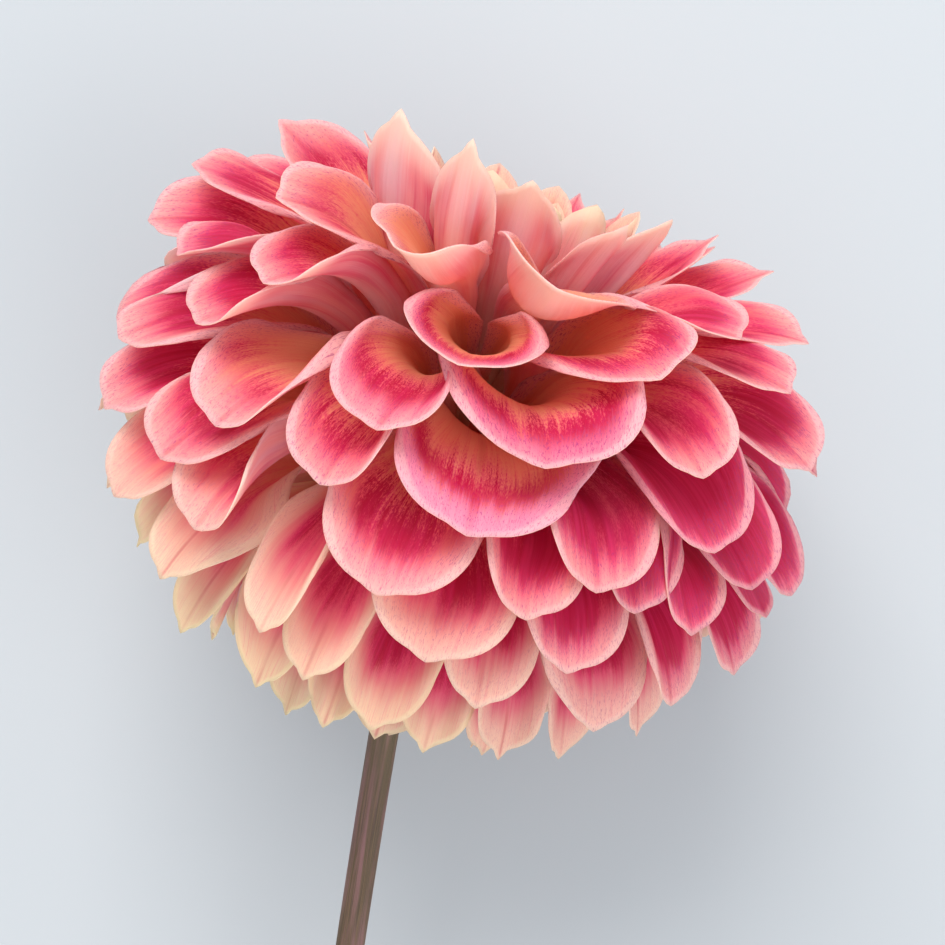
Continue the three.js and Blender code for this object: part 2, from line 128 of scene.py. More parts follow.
# Petals whose tips can be read in the photograph: pixel of the tip, width, and how far
# the petal is rolled (tube, cup, left, right), twisted, bent back (end), moved at its
# claw (base) and held in (inset) beyond its neighbours. The rest is the visual model's
# own: ahead is how much sooner than its neighbours it takes its place in settle(), and
# warm, lilac and flush make it more orange, lilac-rimmed and crimson.
READ_PETALS = [
    # the front
    dict(pixel=(468, 531), width=37, cup=0.55, base=-3, warm=0.15, lilac=1),
    dict(pixel=(378, 590), width=32, cup=0.75, warm=0.06, lilac=0.3, flush=0.2),
    dict(pixel=(546, 463), width=45, tube=0.6, left=-0.2, twist=8, base=8, ahead=7,
         warm=0.13, lilac=0.5, flush=0.3),
    dict(pixel=(378, 425), width=34, tube=0.75, right=0.4, twist=10, ahead=4,
         warm=0.06, lilac=0.3, flush=0.3),
    dict(pixel=(460, 362), width=40, tube=1, end=-22, base=-14, cup=1.12, ahead=40,
         warm=0.12, lilac=0.4),
    dict(pixel=(427, 656), width=31, cup=0.8),
    dict(pixel=(597, 588), width=28, left=0.2),
    dict(pixel=(568, 668), width=26),
    dict(pixel=(527, 615), width=24, left=0.5, twist=8),
    dict(pixel=(658, 374), width=38, tube=0.6, cup=0.93, base=9, left=-0.2, twist=38,
         warm=0.1, lilac=0.1, flush=0.3),
    # the left, from the top down
    dict(pixel=(284, 198), width=27, cup=0.8, twist=-30, warm=0.08),
    dict(pixel=(268, 280), width=28, tube=0.5, right=0.7, warm=0.08, flush=0.1),
    dict(pixel=(198, 162), width=27, twist=-36),
    dict(pixel=(281, 117), width=28, twist=-42),
    dict(pixel=(152, 218), width=25, twist=-36),
    dict(pixel=(182, 252), width=26, tube=0.4, right=0.7),
    dict(pixel=(200, 320), width=28, tube=0.4, right=0.7),
    dict(pixel=(122, 335), width=25, twist=-28),
    dict(pixel=(218, 422), width=32, tube=0.4, right=0.8, warm=0.05, flush=0.1),
    dict(pixel=(107, 405), width=22, twist=-20),
    dict(pixel=(163, 455), width=27, twist=-15, flush=0.15),
    dict(pixel=(322, 480), width=28, right=0.9, tube=0.3),
    dict(pixel=(197, 525), width=28, right=0.7, tube=0.3, flush=0.15),
    dict(pixel=(117, 492), width=22, twist=-20),
    dict(pixel=(163, 573), width=19, twist=-12),
    dict(pixel=(183, 626), width=16, twist=-10),
    dict(pixel=(262, 626), width=17, right=1.1),
    dict(pixel=(258, 680), width=16),
    dict(pixel=(305, 673), width=18, tube=0.2),
    # the bottom
    dict(pixel=(373, 723), width=20, tube=0.15),
    dict(pixel=(425, 745), width=17),
    dict(pixel=(477, 702), width=22, tube=0.15),
    dict(pixel=(500, 752), width=18),
    dict(pixel=(562, 755), width=24, cup=0.7),
    dict(pixel=(595, 725), width=26, tube=0.15),
    dict(pixel=(640, 733), width=26, cup=0.7),
    dict(pixel=(672, 700), width=22),
    dict(pixel=(325, 720), width=14),
    dict(pixel=(283, 714), width=15),
    # the right, from the bottom up
    dict(pixel=(642, 615), width=22, cup=0.8, inset=2),
    dict(pixel=(692, 631), width=21, left=0.8, twist=4),
    dict(pixel=(734, 670), width=26, twist=10, ahead=5),
    dict(pixel=(752, 585), width=24, twist=25),
    dict(pixel=(767, 613), width=20, twist=25),
    dict(pixel=(800, 596), width=20, twist=30),
    dict(pixel=(714, 548), width=26, twist=20),
    dict(pixel=(702, 473), width=27, twist=20, left=0.3),
    dict(pixel=(808, 466), width=25, twist=30),
    dict(pixel=(785, 388), width=26, twist=25),
    dict(pixel=(733, 335), width=28, twist=16, left=0.1, ahead=10),
    dict(pixel=(800, 340), width=22, twist=30),
    dict(pixel=(767, 272), width=27, cup=0.8, twist=22),
    # the top
    dict(pixel=(398, 240), width=30, tube=0.75, twist=-6, right=0.2, warm=0.2),
    dict(pixel=(556, 285), width=36, tube=0.9, end=-6, base=-18, cup=1.12, left=0.1, twist=-12,
         warm=0.2),
    dict(pixel=(531, 187), width=24),
    dict(pixel=(667, 225), width=24),
    dict(pixel=(405, 146), width=32, tube=0.2, cup=0.9, end=-25, inset=-5, warm=0.1),
    dict(pixel=(470, 174), width=19, end=-25, inset=-5, warm=0.1),
    dict(pixel=(711, 240), width=26, cup=0.8, twist=15),
]

BRACT_COUNT = 5
BRACT_START = 36            # azimuth of the first
BRACT_BASE_POLAR = 148
BRACT_TIP = (19, -49)       # outward and along the axis, from the bloom's centre
BRACT_END = 172
BRACT_WIDTH = 9
BRACT_ROLL = 0.45

# ---------- what only the visual model has ----------

MM = 0.001                  # in metres
SEED = 7

# A petal's surface. The tuples are (start, length) of where a feature sets in, as shares
# of the way from claw to tip or, for LIP_ACROSS, of the way from midrib to margin.
ROWS = 22                   # points along a petal
COLUMNS = 15                # points across it
CURVE_STEPS = 121           # points at which a centreline's length is measured
MOST_ROLL = 350             # a rolled petal's margins stop just short of each other
POINT_RISE = (0.8, 0.2)
POINT_WIDTH = 0.12          # as a share of half the petal's width
SIDE_ROLL_RISE = (0.25, 0.4)
LIP_ALONG = (0.35, 0.4)
LIP_ACROSS = (0.7, 0.3)
MIDRIB_RISE = (0, 0.25)
MIDRIB_WIDTH = 0.09         # as a share of half the petal's width
TWIST_RISE = (0, 0.8)
WAVE_RISE = (0.5, 0.4)
WAVE_ACROSS = 2.2 * math.pi
WAVE_ALONG = 3
PETAL_THICKNESS = (0.55, 0.22)      # at the midrib and at the edge
BRACT_THICKNESS = (0.9, 0.4)
THIN_ACROSS = 3             # powers of the places across and along a sheet: the higher,
THIN_ALONG = 6              # the nearer to its edge it thins

# A petal's colours and shape, and how much they differ at random between petals.
USUAL_LILAC = 0.1
SPREAD = dict(
    cream=0.06, pale=0.08, blush=0.10, warm=0.04,
    width=0.05, cup=0.08, side=0.25, twist=9, wave=0.35,
)
LEAST_BLUSH = 0.15
MOST_BLUSH = 1.5
MOST_SALT = 100             # each petal's patterns start at a place of their own

# How petals make way for each other.
NEST_REACH = 38             # petals further apart than this angle don't touch
NEST_PASSES = 3
NEST_START = 0.2            # share of a petal's length that stays where it is
NEST_DEPTH = 6              # deepest cut into another petal that is undone
NEST_GAP = 0.7              # room left between two petals
NEST_FACING = 0.7           # how squarely a point has to lie above the other petal

# Zones of the bloom in which petals differ, as (start, length) of their polar angles.
BEYOND_YOUNG = (12, 26)
MIDDLE_ZONE = (68, 30)
LOW_ZONE = (88, 40)
OLD_ZONE = (118, 30)

HEART_PETALS = 26
HEART_START = 40            # azimuth of the first
HEART_POLAR = 25            # how far from the axis the heart reaches
HEART_DROP = 4              # how much lower its middle lies
HEART_CURL = 38             # how far its tips bend over the middle
HEART_WIDTH = (7, 17)       # of its innermost and outermost petals, like HEART_CREAM
HEART_CREAM = (0.75, 0.45)
HEART_FACTS = dict(pale=0.6, blush=0.35, warm=0.25, lilac=0)
HEART_ROLL = 1.25
HEART_ROUNDNESS = 1.9
HEART_POINT = 0.01
HEART_ROWS = 18
HEART_COLUMNS = 11

STEM_ROWS = 90
STEM_SIDES = 40
STEM_CROWDING = 1.5         # above 1, rows lie closer together near the bloom
STEM_RIDGES = 5
RIDGE_DEPTH = 0.035         # as a share of the stem's radius
RIDGE_FADE = 20             # distance from the receptacle at which they are full
STEM_COLOUR_LENGTH = 200    # over which the stem's colour changes

# Floor, light and camera, in metres, watts and millimetres of film.
FLOOR_RADIUS = 0.75
FLOOR_SIDES = 96
FLOOR_COLOUR = "b0b2b3"
KEY_LIGHT = dict(place=(-0.35, 0.95, 1.05), size=0.9, power=18)
FILL_LIGHT = dict(place=(0.9, -0.5, 0.9), size=1.2, power=9)
SKY_COLOUR = (0.85, 0.92, 1.0, 1)
SKY_STRENGTH = 1.08
FILM_WIDTH = 36
NEAR_CLIP = 0.01

rng = np.random.default_rng(SEED)

# ---------- small helpers ----------


def smoothstep(x):
    x = np.clip(x, 0, 1)
    return x * x * (3 - 2 * x)


def ramp(x, start, length):
    """0 up to start, 1 from a length further on, and eased between."""
    return smoothstep((x - start) / length)


def between(ends, share):
    """The value that lies a share of the way from the first of two to the second."""
    return ends[0] + (ends[1] - ends[0]) * share


def read(x, xs, ys):
    return float(np.interp(x, xs, ys))


def read_eased(x, xs, ys):
    """The table's values at x, with eased steps between its points."""
    x = np.asarray(x, dtype=float)
    place = np.clip(np.searchsorted(xs, x, side="right") - 1, 0, len(xs) - 2)
    low, high = np.take(xs, place), np.take(xs, place + 1)
    start, stop = np.take(ys, place), np.take(ys, place + 1)
    return start + (stop - start) * smoothstep((x - low) / (high - low))


def unit(polar, azimuth):
    p, a = math.radians(polar), math.radians(azimuth)
    return np.array([math.sin(p) * math.cos(a), math.sin(p) * math.sin(a), math.cos(p)])


def heading(polar):
    """A direction in a plane through the flower's axis, as outward and axial shares."""
    return np.array([math.sin(math.radians(polar)), math.cos(math.radians(polar))])


def normalised(v):
    return v / np.linalg.norm(v, axis=-1, keepdims=True)


def new_object(name, data):
    made = bpy.data.objects.new(name, data)
    bpy.context.scene.collection.objects.link(made)
    return made


def add_attribute(mesh, name, values):
    attribute = mesh.attributes.new(name, "FLOAT", "POINT")
    attribute.data.foreach_set("value", values.astype(np.float32))


# ---------- how the flower lies ----------

reach = RECEPTACLE_DEPTH + RECEPTACLE_RADIUS + SEAT_GAP + NECK_LENGTH + STEM_LENGTH
rise = math.asin((HEAD_HEIGHT - STEM_RADIUS) / reach)
bend = math.radians(NECK_BEND)
AXIS = np.array([math.sin(bend) * math.cos(rise), math.cos(bend) * math.cos(rise), math.sin(rise)])
STEM_DIRECTION = np.array([0, math.cos(rise), math.sin(rise)])
UPPER = normalised(np.array([0, 0, 1]) - AXIS[2] * AXIS)
SIDE = np.cross(AXIS, UPPER)
HEAD_AXES = np.stack([UPPER, SIDE, AXIS])

# The receptacle is a ball, so the middle of its box is its centre.
RECEPTACLE = np.array(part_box("receptacle")).mean(axis=0) / MM
HEAD = RECEPTACLE + RECEPTACLE_DEPTH * AXIS
SURFACE = HEAD[2] - HEAD_HEIGHT


def to_row(points):
    """Points of the bloom's frame in the row frame, still in millimetres."""
    return points @ HEAD_AXES + HEAD


def press(points):
    """Flattens what would reach below the surface."""
    points = points.copy()
    height = points[..., 2] - SURFACE
    points[..., 2] = SURFACE + PRESS * np.log1p(np.exp(height / PRESS))
    return points


# ---------- where the petals grow ----------


def view_axes():
    """The bloom's axes in the camera's frame: x right, y up, z towards the camera."""
    roll = math.radians(VIEW_ROLL)
    lean = math.radians(VIEW_LEAN)
    axis = np.array([math.sin(roll) * math.cos(lean), math.cos(roll) * math.cos(lean), math.sin(lean)])
    upper = normalised(np.array([0, 0, 1]) - axis[2] * axis)
    return np.stack([upper, np.cross(axis, upper), axis])


def pixel_vector(pixel):
    """The way from the camera to what shows at a pixel, for a depth of 1."""
    return np.array([
        (pixel[0] - IMAGE_CENTRE) / FOCAL_PIXELS,
        (IMAGE_CENTRE - pixel[1]) / FOCAL_PIXELS,
        -1,
    ])


def read_direction(pixel):
    """Polar angle and azimuth of the outline's point that shows at a pixel."""
    axes = view_axes()
    eye = axes @ (-VIEW_DISTANCE * pixel_vector(HEAD_PIXEL))
    ray = axes @ normalised(pixel_vector(pixel))
    depth = -(eye @ ray)
    radius = read(90, OUTLINE_POLAR, OUTLINE_RADIUS)
    for _ in range(READ_ROUNDS):
        inside = max(depth * depth - eye @ eye + radius * radius, 0)
        point = eye + ray * (depth - math.sqrt(inside))
        polar = math.degrees(math.acos(point[2] / np.linalg.norm(point)))
        radius += READ_STEP * (read(polar, OUTLINE_POLAR, OUTLINE_RADIUS) - radius)
    return polar, math.degrees(math.atan2(point[1], point[0]))


def apart(a, b):
    """The angle between two petals' tips, seen from the bloom's centre."""
    return math.degrees(math.acos(np.clip(a["direction"] @ b["direction"], -1, 1)))


def all_petals():
    seen = []
    for petal in READ_PETALS:
        polar, azimuth = read_direction(petal["pixel"])
        seen.append(dict(petal, polar=polar, azimuth=azimuth, direction=unit(polar, azimuth)))
    spiral = []
    for n in range(FIRST_PETAL, LAST_PETAL + 1):
        polar = read(n, SPIRAL_STEP, SPIRAL_POLAR)
        azimuth = SPIRAL_START - GOLDEN_ANGLE * n
        petal = dict(polar=polar, azimuth=azimuth, direction=unit(polar, azimuth))
        if all(apart(petal, other) > MERGE_SPACING for other in seen):
            spiral.append(petal)
    return seen + spiral


def mark_solids(petals):
    """Gives each petal that has a solid of its own that solid's node."""
    solids = []
    for petal in petals:
        if all(apart(petal, other) > SOLID_SPACING for other in solids):
            solids.append(petal)
            petal["node"] = f"petal_{len(solids):02d}"


# ---------- the surface of a petal ----------


def curve_point(t, start, hold, pull, stop):
    return ((1 - t) ** 3 * start + 3 * (1 - t) ** 2 * t * hold
            + 3 * (1 - t) * t ** 2 * pull + t ** 3 * stop)


def curve_slope(t, start, hold, pull, stop):
    return (3 * (1 - t) ** 2 * (hold - start) + 6 * (1 - t) * t * (pull - hold)
            + 3 * t ** 2 * (stop - pull))


def centreline(base_polar, tip, end, along):
    """Places and directions along a petal's middle, in a plane through the axis."""
    leave = heading(base_polar)
    start = leave * (RECEPTACLE_RADIUS + SEAT_GAP) + [0, -RECEPTACLE_DEPTH]
    stop = np.array(tip, dtype=float)
    chord = np.linalg.norm(stop - start)
    hold = start + leave * LEAVE_REACH * chord
    pull = stop - heading(end) * ARRIVE_REACH * chord
    steps = np.linspace(0, 1, CURVE_STEPS)[:, None]
    way = curve_point(steps, start, hold, pull, stop)
    length = np.concatenate([[0], np.cumsum(np.linalg.norm(np.diff(way, axis=0), axis=1))])
    t = np.interp(np.minimum(along, 1) * length[-1], length, steps[:, 0])[..., None]
    tangent = normalised(curve_slope(t, start, hold, pull, stop))
    beyond = (np.maximum(along - 1, 0) * length[-1])[..., None]
    return curve_point(t, start, hold, pull, stop) + tangent * beyond, tangent


def section(u, v, width, tube, cup, left, right, wave):
    """How far each point lies across and inside of the centreline, before any twist."""
    share = (1 - tube) * np.array(OPEN_WIDTH) + tube * np.array(TUBE_WIDTH)
    half = width / 2 * read_eased(u, WIDTH_AT, share)
    roll = (1 - tube) * np.array(OPEN_ROLL) + tube * np.array(TUBE_ROLL)
    opening = np.radians(read_eased(u, ROLL_AT, roll))
    rolled = 1 + np.where(v < 0, left, right) * ramp(u, *SIDE_ROLL_RISE)
    curve = np.minimum(opening * cup * rolled, math.radians(MOST_ROLL)) / 2
    across = half * np.sin(curve * v) / curve
    hollow = half * (1 - np.cos(curve * v)) / curve * (1 - TUBE_SQUASH * tube)
    lip = ramp(np.abs(v), *LIP_ACROSS) * ramp(u, *LIP_ALONG) * MARGIN_LIP
    rib = MIDRIB_DEPTH * np.exp(-(v / MIDRIB_WIDTH) ** 2) * ramp(u, *MIDRIB_RISE)
    ripple = wave * np.sin(WAVE_ACROSS * v + WAVE_ALONG * u) * ramp(u, *WAVE_RISE)
    return across, hollow - lip - rib + ripple


def blade(azimuth, base_polar, tip, end, width, tube=0, cup=1, left=0, right=0, twist=0, wave=0,
          roundness=2, sharp=0.02, rows=ROWS, columns=COLUMNS):
    """The middle surface of a petal or bract, with each point's place on it.

    u runs along it, from its claw (0) to its tip (1), and v across it, from margin (-1)
    to margin (1).
    """
    u = np.linspace(0, 1, rows)[:, None]
    v = np.sin(np.linspace(-math.pi / 2, math.pi / 2, columns))[None, :]
    point = sharp * np.exp(-(v / POINT_WIDTH) ** 2) * ramp(u, *POINT_RISE)
    shoulder = 1 - (1 - np.abs(v) ** roundness) ** (1 / roundness)
    along = u * (1 - MARGIN_ROUNDING * shoulder) + point
    centre, tangent = centreline(base_polar, tip, end, along)
    across, inward = section(u, v, width, tube, cup, left, right, wave)
    turn = math.radians(twist) * ramp(u, *TWIST_RISE)
    sideways = across * np.cos(turn) - inward * np.sin(turn)
    lifted = across * np.sin(turn) + inward * np.cos(turn)
    outward = centre[..., 0] - tangent[..., 1] * lifted
    height = centre[..., 1] + tangent[..., 0] * lifted
    a = math.radians(azimuth)
    x = outward * math.cos(a) - sideways * math.sin(a)
    y = outward * math.sin(a) + sideways * math.cos(a)
    return to_row(np.stack([x, y, height], -1)), u + 0 * v, v + 0 * u


def quads(rows, columns):
    """The faces of a grid, as seen from the petal's inner side."""
    index = np.arange(rows * columns).reshape(rows, columns)
    a, b, c, d = index[:-1, :-1], index[:-1, 1:], index[1:, 1:], index[1:, :-1]
    return np.stack([a, d, c, b], -1).reshape(-1, 4)


def smoothed(field):
    """Each value of a grid averaged with its neighbours."""
    padded = np.pad(field, ((1, 1), (1, 1), (0, 0)), mode="edge")
    rows, columns = field.shape[:2]
    parts = [padded[i:i + rows, j:j + columns] for i in range(3) for j in range(3)]
    return sum(parts) / len(parts)


def refined(field):
    """The grid with a smooth row and column put between each two of its own."""
    for axis in (0, 1):
        grid = np.moveaxis(field, axis, 0)
        before = np.concatenate([2 * grid[:1] - grid[1:2], grid[:-2]])
        after = np.concatenate([grid[2:], 2 * grid[-1:] - grid[-2:-1]])
        middle = (9 * (grid[:-1] + grid[1:]) - before - after) / 16
        fine = np.empty((2 * len(grid) - 1,) + grid.shape[1:])
        fine[::2] = grid
        fine[1::2] = middle
        field = np.moveaxis(fine, 0, axis)
    return field


# ---------- how petals make way for each other ----------


def settle(petals):
    """Moves each petal out of the cups of those in front of it, so that none cuts through another."""
    settled = []
    for petal in sorted(petals, key=lambda petal: petal["order"]):
        near = [other for other in settled if apart(petal, other) < NEST_REACH]
        points = petal["points"]
        rows, columns = points.shape[:2]
        free = ramp(np.linspace(0, 1, rows), NEST_START, NEST_START)[:, None, None]
        shift = np.zeros_like(points)
        for _ in range(NEST_PASSES):
            for i in range(int(NEST_START * rows), rows):
                for j in range(columns):
                    shift[i, j] += way_out(points[i, j] + shift[i, j], near)
            shift = smoothed(shift) * free
        points += smoothed(shift) * free
        corners = points.reshape(-1, 3).tolist()
        petal["tree"] = BVHTree.FromPolygons(corners, quads(rows, columns).tolist())
        settled.append(petal)


def way_out(point, others):
    """The longest of the moves that take a point behind the petals that it cuts into."""
    best = np.zeros(3)
    for other in others:
        place, normal, _, distance = other["tree"].find_nearest(point, NEST_DEPTH)
        if place is None:
            continue
        normal = np.array(normal)
        above = (point - np.array(place)) @ normal
        facing = abs(above) > NEST_FACING * distance
        if facing and above > -NEST_GAP and above + NEST_GAP > np.linalg.norm(best):
            best = -normal * (above + NEST_GAP)
    return best


# ---------- meshes and pieces ----------


def closed_sheet(row, u, v, thickness):
    """Corners and faces of a sheet around a middle surface: its outer side, then its inner."""
    row = press(row)
    normal = normalised(np.cross(np.gradient(row, axis=1), np.gradient(row, axis=0)))
    edge = np.maximum(np.abs(v) ** THIN_ACROSS, u ** THIN_ALONG)
    thick = between(thickness, edge)[..., None]
    corners = np.stack([row + normal * thick / 2, row - normal * thick / 2])
    count = u.size
    index = np.arange(count).reshape(u.shape)
    ring = np.concatenate([index[0, :], index[1:, -1], index[-1, -2::-1], index[-2:0:-1, 0]])
    after = np.roll(ring, -1)
    sides = np.stack([ring, ring + count, after + count, after], -1)
    inner = quads(*u.shape)
    outer = np.roll(inner[:, ::-1], 1, axis=1)
    return corners.reshape(-1, 3), np.concatenate([outer, inner + count, sides])


def sheet_mesh(name, blades, thickness=PETAL_THICKNESS):
    """One mesh of closed sheets. blades holds (points, along, across, {attribute: value})."""
    corners, faces, values = [], [], {}
    for row, u, v, facts in blades:
        sheet, sheet_faces = closed_sheet(row, u, v, thickness)
        faces.append(sheet_faces + sum(len(part) for part in corners))
        corners.append(sheet)
        for key, value in dict(facts, along=u, across=v).items():
            spread = np.broadcast_to(value, u.shape).ravel()
            values.setdefault(key, []).extend([spread, spread])
        values.setdefault("inner", []).extend([np.zeros(u.size), np.ones(u.size)])
    mesh = bpy.data.meshes.new(name)
    mesh.from_pydata((np.concatenate(corners) * MM).tolist(), [], np.concatenate(faces).tolist())
    mesh.validate()
    for key, parts in values.items():
        add_attribute(mesh, key, np.concatenate(parts))
    mesh.polygons.foreach_set("use_smooth", [True] * len(mesh.polygons))
    mesh.update()
    return mesh


def add_piece(name, mesh, material, slot, *nodes):
    """Adds a piece of the flower that shows instead of the nodes given."""
    piece = new_object(name, mesh)
    mesh.materials.append(material)
    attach(piece, "root")
    if nodes:
        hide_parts(*nodes)


# ---------- building materials ----------


def colour(code):
    """A linear colour from its hexadecimal sRGB code."""
    channels = [int(code[i:i + 2], 16) / 255 for i in (0, 2, 4)]
    return [c / 12.92 if c <= 0.04045 else ((c + 0.055) / 1.055) ** 2.4 for c in channels] + [1]


class Value:
    """What a material's node gives, to reckon with as with a number."""

    def __init__(self, shader, socket):
        self.shader = shader
        self.socket = socket

    def __add__(self, other):
        return self.shader.math("ADD", self, other)

    def __sub__(self, other):
        return self.shader.math("SUBTRACT", self, other)

    def __rsub__(self, other):
        return self.shader.math("SUBTRACT", other, self)

    def __mul__(self, other):
        return self.shader.math("MULTIPLY", self, other)

    def __truediv__(self, other):
        return self.shader.math("DIVIDE", self, other)

    def __pow__(self, other):
        return self.shader.math("POWER", self, other)

    def __abs__(self):
        return self.shader.math("ABSOLUTE", self)

    __radd__ = __add__
    __rmul__ = __mul__

    def at_least(self, other):
        return self.shader.math("MAXIMUM", self, other)

    def at_most(self, other):
        return self.shader.math("MINIMUM", self, other)

    def step(self, low, high):
        """0 where the value is below low, 1 above high, smooth between."""
        settings = dict(interpolation_type="SMOOTHSTEP")
        limits = dict(From_Min=low, From_Max=high)
        return self.shader.node("ShaderNodeMapRange", "Result", settings, Value=self, **limits)


class Shader:
    """Builds one material's nodes."""

    def __init__(self, name, roughness, specular):
        self.material = bpy.data.materials.new(name)
        self.material.use_nodes = True
        self.tree = self.material.node_tree
        self.surface = self.tree.nodes["Principled BSDF"]
        self.output = self.tree.nodes["Material Output"]
        self.surface.inputs["Roughness"].default_value = roughness
        self.surface.inputs["Specular IOR Level"].default_value = specular

    def put(self, socket, value):
        if isinstance(value, Value):
            self.tree.links.new(value.socket, socket)
        else:
            socket.default_value = value

    def node(self, kind, output, settings=None, **inputs):
        """Adds a node and gives what one of its outputs holds."""
        made = self.tree.nodes.new(kind)
        for key, value in (settings or {}).items():
            setattr(made, key, value)
        for key, value in inputs.items():
            self.put(made.inputs[key.replace("_", " ")], value)
        return Value(self, made.outputs[output])

    def attribute(self, name):
        return self.node("ShaderNodeAttribute", "Fac", dict(attribute_name=name))

    def position(self):
        return self.node("ShaderNodeTexCoord", "Object")

    def math(self, operation, *values):
        made = self.tree.nodes.new("ShaderNodeMath")
        made.operation = operation
        for socket, value in zip(made.inputs, values):
            self.put(socket, value)
        return Value(self, made.outputs[0])

    def mix(self, share, first, second):
        settings = dict(data_type="RGBA")
        return self.node("ShaderNodeMix", "Result", settings, Factor=share, A=first, B=second)

    def noise(self, vector, scale, detail, roughness):
        inputs = dict(Vector=vector, Scale=scale, Detail=detail, Roughness=roughness)
        return self.node("ShaderNodeTexNoise", "Fac", **inputs)

    def pattern(self, across, along, times, detail, roughness, salt=0.0):
        """Noise that repeats as often across and along a piece as times says."""
        place = dict(X=across * times[0], Y=along * times[1], Z=salt)
        vector = self.node("ShaderNodeCombineXYZ", "Vector", **place)
        return self.noise(vector, 1.0, detail, roughness)

    def paint(self, tint):
        self.put(self.surface.inputs["Base Color"], tint)

    def bump(self, height, strength, distance):
        """Gives the surface relief. distance is in metres."""
        inputs = dict(Height=height, Strength=strength, Distance=distance)
        normal = self.node("ShaderNodeBump", "Normal", **inputs)
        self.put(self.surface.inputs["Normal"], normal)
        return normal

    def let_light_through(self, share, tint, normal):
        """Mixes the surface with one that lights up from behind."""
        glow = self.node("ShaderNodeBsdfTranslucent", "BSDF", Color=tint, Normal=normal)
        both = self.tree.nodes.new("ShaderNodeMixShader")
        both.inputs["Fac"].default_value = share
        self.tree.links.new(self.surface.outputs["BSDF"], both.inputs[1])
        self.tree.links.new(glow.socket, both.inputs[2])
        self.tree.links.new(both.outputs["Shader"], self.output.inputs["Surface"])


# ---------- the petals' material ----------

# The throat's own orange, painted lighter than it is to stand in for the light that shines through the
# petals into the cups.
THROAT = colour("ffc496")
FLESH = colour("ff9a82")
PINK = colour("f48a9c")
PALE_FLESH = colour("fdd0c8")
LILAC = colour("f7a0c4")
BLUSH = colour("ea3a7c")
DEEP = colour("c8104c")
RIM = colour("fbd2d2")
CREAM = colour("fbebc4")
BACK = colour("fbb2b0")
# Near white: the back's pale flecks and rim, and the painted highlight along its midrib and streaks.
BACK_PALE_AND_SHEEN = colour("ffeaea")
BACK_VEIN = colour("e65a84")
SPECKLE = colour("b03a86")

# Noise on a petal: how often it repeats across and along, its detail and roughness.
STRIPES = dict(times=(4.5, 0.8), detail=2.0, roughness=0.5)
LINES = dict(times=(14, 1.8), detail=4.0, roughness=0.62)
FINE_LINES = dict(times=(60, 4.0), detail=3.0, roughness=0.7)
BLOTCHES = dict(times=(1.8, 3.4), detail=2.0, roughness=0.5)
GRAINS = dict(times=(80, 80), detail=2.0, roughness=0.7)

# How far these shift the places where colours begin and end.
STREAK_SHIFT = 0.28
HAIR_SHIFT = 0.26
GRAIN_SHIFT = 0.20

# Where the colours of a petal's face and back begin or end, from none to full. Along it,
# 0 is its claw and 1 its tip. Towards its edge, 0 is its midrib and 1 its rim.
THROAT_END_ALONG = (0.38, 0.92)
PATCH_START_ALONG = (0.46, 0.84)
CREASE_SHADE_START_ALONG = (0.45, 0.80)
FLUSH_START_ALONG = (0.25, 0.60)
PAINTED_SHEEN_START_ALONG = (0.30, 0.75)
CLAW_END_ALONG = (0.15, 0.55)
TIP_START_ALONG = (0.80, 0.98)
SEAM_START = (0.60, 0.74)
SEAM_END = (0.74, 0.88)
LIP_START = (0.76, 0.90)
SPECK_START = (0.70, 0.88)
RIM_START = (0.955, 0.995)
BACK_RIM_START = (0.80, 1.0)
CREASE_SHADE_END = (0.01, 0.07)
BACK_SHEEN_MIDRIB_END = (0.04, 0.34)

# The strengths of noise between which it turns into marks, from none to full.
VEIN_NOISE = (0.52, 0.66)
FLECK_NOISE = (0.50, 0.72)
SPECK_NOISE = (0.54, 0.64)
GRIT_NOISE = (0.38, 0.60)
CREASE_SHADE_NOISE = (0.35, 0.65)
FLUSH_NOISE = (0.55, 0.95)
FLUSH_LINE_NOISE = (0.42, 0.75)
PAINTED_SHEEN_NOISE = (0.34, 0.70)
BACK_FLECK_NOISE = (0.50, 0.70)

EDGE_SQUARENESS = 4.0       # 2 makes a round edge, more a squarer one
PETAL_TRANSLUCENCE = 0.5
PETAL_ATTRIBUTES = ["along", "across", "inner", "salt", "blush", "cream", "pale", "warm", "lilac"]


def petal_patterns(shader):
    """Where a point lies on its petal, and the veins, streaks and grains there."""
    petal = SimpleNamespace(**{name: shader.attribute(name) for name in PETAL_ATTRIBUTES})
    petal.wide = abs(petal.across)

    # The veins fan out from the petal's root and end on its margins.
    fan = petal.across / (0.55 + 0.55 * petal.along)
    petal.stripes = shader.pattern(fan, petal.along, salt=petal.salt, **STRIPES)
    petal.lines = shader.pattern(fan, petal.along, salt=petal.salt, **LINES)
    petal.fine = shader.pattern(fan, petal.along, salt=petal.salt, **FINE_LINES)
    petal.blotch = shader.pattern(petal.across, petal.along, salt=petal.salt, **BLOTCHES)
    petal.grains = shader.pattern(petal.across, petal.along, salt=petal.salt, **GRAINS)

    # How far along and how near the edge, shifted by streaks and grains so that
    # no colour ends in a clean line.
    petal.streak = STREAK_SHIFT * (petal.lines - 0.5)
    petal.hair = HAIR_SHIFT * (petal.fine - 0.5)
    ragged = petal.hair + GRAIN_SHIFT * (petal.grains - 0.5)
    petal.reach = petal.along + petal.streak + ragged - petal.warm
    towards_tip = (2.0 * petal.along - 1.0).at_least(0.0)
    power = EDGE_SQUARENESS
    petal.edge = (petal.wide ** power + towards_tip ** power) ** (1 / power)
    petal.soft_edge = petal.edge + 0.6 * petal.streak + 0.7 * ragged
    petal.crisp_edge = petal.edge + 0.12 * ragged
    return petal


